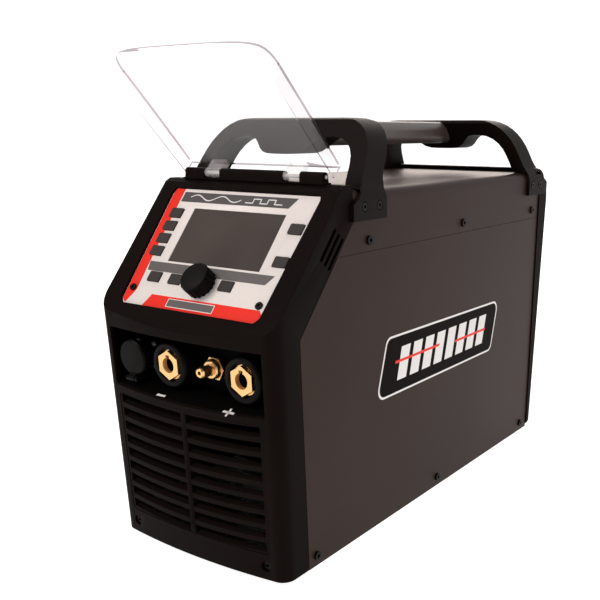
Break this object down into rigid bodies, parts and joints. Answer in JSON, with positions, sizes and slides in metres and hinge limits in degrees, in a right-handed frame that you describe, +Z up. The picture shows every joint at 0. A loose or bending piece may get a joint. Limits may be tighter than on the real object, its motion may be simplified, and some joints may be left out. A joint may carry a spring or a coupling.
{
  "type": "tig welding machine",
  "caption": "Portable inverter power source for gas tungsten arc welding, with a sloped control face under a clear hinged cover, front sockets, louvres, a grip along the top and a rear fan.",
  "frame": {"origin": "on the floor under the middle of the bounding box of the whole machine", "axes": "+Z up, -Y toward the control face and sockets, +X to the right of someone facing the control face; the cover stands open and the dust cap is shut at rest"},
  "size_m": [0.209, 0.4928, 0.4199],
  "materials": {
    "body_paint": "fine textured powder coat, dark brown black",
    "bezel_plastic": "black moulding with a fine spark texture",
    "handle_plastic": "black moulding, light sheen",
    "recess_plastic": "black moulding",
    "panel_print": "printed off-white overlay",
    "lens_dark": "dark display window",
    "display_glass": "display module",
    "key_grey": "dark grey keys",
    "knob_black": "ribbed black knob",
    "brass": "bright brass",
    "insulator_black": "black insulating moulding",
    "clear_plastic": "clear moulding",
    "screw_black": "black finished steel screws",
    "zinc_steel": "zinc plated steel",
    "rubber_black": "black rubber",
    "aluminium": "extruded aluminium",
    "board_green": "circuit board",
    "fan_black": "black fan plastic",
    "switch_red": "red rocker",
    "core_grey": "core with a wound coil",
    "can_black": "sleeved capacitor cans"
  },
  "bodies": {
    "machine": {"base_chassis": "zinc_steel", "side_panel_left": "body_paint", "side_panel_right": "body_paint", "top_cover": "body_paint", "front_bezel": "bezel_plastic", "front_grille": "bezel_plastic", "connector_panel": "recess_plastic", "dinse_neg_insulator": "insulator_black", "dinse_neg_contact": "brass", "dinse_pos_insulator": "insulator_black", "dinse_pos_contact": "brass", "gas_outlet": "brass", "control_socket": "insulator_black", "control_socket_screws": "zinc_steel", "control_plate": "panel_print", "lcd_lens": "lens_dark", "lcd_module": "display_glass", "encoder_body": "zinc_steel", "control_board": "board_green", "panel_screws": "screw_black", "cover_hinge_bracket": "bezel_plastic", "cover_hinge_pin": "zinc_steel", "front_handle": "handle_plastic", "rear_handle": "handle_plastic", "handle_bar": "handle_plastic", "handle_screws": "screw_black", "rear_bezel": "bezel_plastic", "rear_panel": "body_paint", "rear_screws": "screw_black", "fan_guard": "zinc_steel", "fan_screws": "zinc_steel", "fan_frame": "fan_black", "switch_body": "insulator_black", "cable_gland": "insulator_black", "gas_inlet": "brass", "body_screws": "screw_black", "front_screws": "screw_black", "feet": "rubber_black", "heatsink_left": "aluminium", "heatsink_right": "aluminium", "transformer": "core_grey", "inverter_board": "board_green", "capacitors": "can_black", "solenoid_valve": "brass"},
    "cover": {"clear_cover": "clear_plastic"},
    "dust_cap": {"control_socket_cap": "insulator_black"},
    "knob_push": {"encoder_plunger": "insulator_black"},
    "knob": {"control_knob": "knob_black", "encoder_shaft": "zinc_steel"},
    "fan": {"fan_rotor": "fan_black"},
    "rocker": {"switch_rocker": "switch_red"},
    "key_1": {"key_1": "key_grey"},
    "key_2": {"key_2": "key_grey"},
    "key_3": {"key_3": "key_grey"},
    "key_4": {"key_4": "key_grey"},
    "key_5": {"key_5": "key_grey"},
    "key_6": {"key_6": "key_grey"},
    "key_7": {"key_7": "key_grey"},
    "key_8": {"key_8": "key_grey"},
    "key_9": {"key_9": "key_grey"}
  },
  "joints": [
    {"name": "cover_hinge", "type": "hinge", "parent": "machine", "child": "cover", "pos_m": [0, -0.1441, 0.325], "axis": [1, 0, 0], "range_deg": [-33.5, 95.1]},
    {"name": "dust_cap_hinge", "type": "hinge", "parent": "machine", "child": "dust_cap", "pos_m": [-0.066, -0.2396, 0.1573], "axis": [1, 0, 0], "range_deg": [0, 95], "stiffness_Nm_per_rad": 0.004, "springref_deg": -28.65},
    {"name": "encoder_push", "type": "slide", "parent": "machine", "child": "knob_push", "axis": [0, -0.7501, 0.6613], "range_m": [-0.0006, 0], "stiffness_N_per_m": 600, "springref_m": 0.003},
    {"name": "knob_turn", "type": "hinge", "parent": "knob_push", "child": "knob", "pos_m": [0.004, -0.21805, 0.24414], "axis": [0, -0.7501, 0.6613], "continuous": true},
    {"name": "fan_spin", "type": "hinge", "parent": "machine", "child": "fan", "pos_m": [0, 0.2129, 0.129], "axis": [0, 1, 0], "continuous": true},
    {"name": "rocker_tilt", "type": "hinge", "parent": "machine", "child": "rocker", "pos_m": [0.048, 0.2214, 0.254], "axis": [1, 0, 0], "range_deg": [0, 18]},
    {"name": "key_1_push", "type": "slide", "parent": "machine", "child": "key_1", "axis": [0, -0.7501, 0.6613], "range_m": [-0.0005, 0], "stiffness_N_per_m": 1200, "springref_m": 0.001},
    {"name": "key_2_push", "type": "slide", "parent": "machine", "child": "key_2", "axis": [0, -0.7501, 0.6613], "range_m": [-0.0005, 0], "stiffness_N_per_m": 1200, "springref_m": 0.001},
    {"name": "key_3_push", "type": "slide", "parent": "machine", "child": "key_3", "axis": [0, -0.7501, 0.6613], "range_m": [-0.0005, 0], "stiffness_N_per_m": 1200, "springref_m": 0.001},
    {"name": "key_4_push", "type": "slide", "parent": "machine", "child": "key_4", "axis": [0, -0.7501, 0.6613], "range_m": [-0.0005, 0], "stiffness_N_per_m": 1200, "springref_m": 0.001},
    {"name": "key_5_push", "type": "slide", "parent": "machine", "child": "key_5", "axis": [0, -0.7501, 0.6613], "range_m": [-0.0005, 0], "stiffness_N_per_m": 1200, "springref_m": 0.001},
    {"name": "key_6_push", "type": "slide", "parent": "machine", "child": "key_6", "axis": [0, -0.7501, 0.6613], "range_m": [-0.0005, 0], "stiffness_N_per_m": 1200, "springref_m": 0.001},
    {"name": "key_7_push", "type": "slide", "parent": "machine", "child": "key_7", "axis": [0, -0.7501, 0.6613], "range_m": [-0.0005, 0], "stiffness_N_per_m": 1200, "springref_m": 0.001},
    {"name": "key_8_push", "type": "slide", "parent": "machine", "child": "key_8", "axis": [0, -0.7501, 0.6613], "range_m": [-0.0005, 0], "stiffness_N_per_m": 1200, "springref_m": 0.001},
    {"name": "key_9_push", "type": "slide", "parent": "machine", "child": "key_9", "axis": [0, -0.7501, 0.6613], "range_m": [-0.0005, 0], "stiffness_N_per_m": 1200, "springref_m": 0.001}
  ]
}
